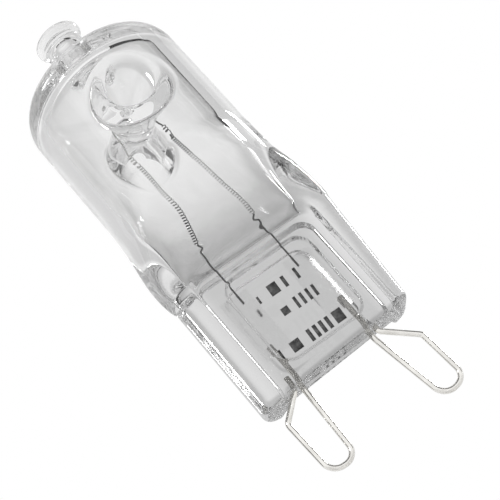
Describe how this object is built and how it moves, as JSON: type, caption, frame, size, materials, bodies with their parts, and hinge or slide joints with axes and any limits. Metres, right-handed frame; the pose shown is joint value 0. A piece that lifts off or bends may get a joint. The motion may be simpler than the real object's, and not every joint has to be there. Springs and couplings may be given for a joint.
{
  "type": "halogen capsule bulb",
  "caption": "Clear quartz capsule lamp with a coiled filament, a flat pressed foot and two wire loop pins that push into a lamp holder.",
  "frame": {"origin": "middle of the flat foot's lower end, where the loop pins leave the glass", "axes": "+Z along the lamp axis from the loop pins to the glass, X across the flat foot through both pins, +Y through the foot's thickness, right-handed"},
  "size_m": [0.0148, 0.0134, 0.0429],
  "materials": {
    "quartz": "clear, fire-polished quartz",
    "tungsten": "dark drawn tungsten wire",
    "foil": "thin grey molybdenum foil",
    "pin_wire": "bright nickel-like drawn wire"
  },
  "bodies": {
    "root": {"glass_envelope": "quartz", "filament": "tungsten", "inner_lead_left": "tungsten", "inner_lead_right": "tungsten", "foil_left": "foil", "foil_right": "foil", "pin_loop_left": "pin_wire", "pin_loop_right": "pin_wire"}
  },
  "joints": []
}
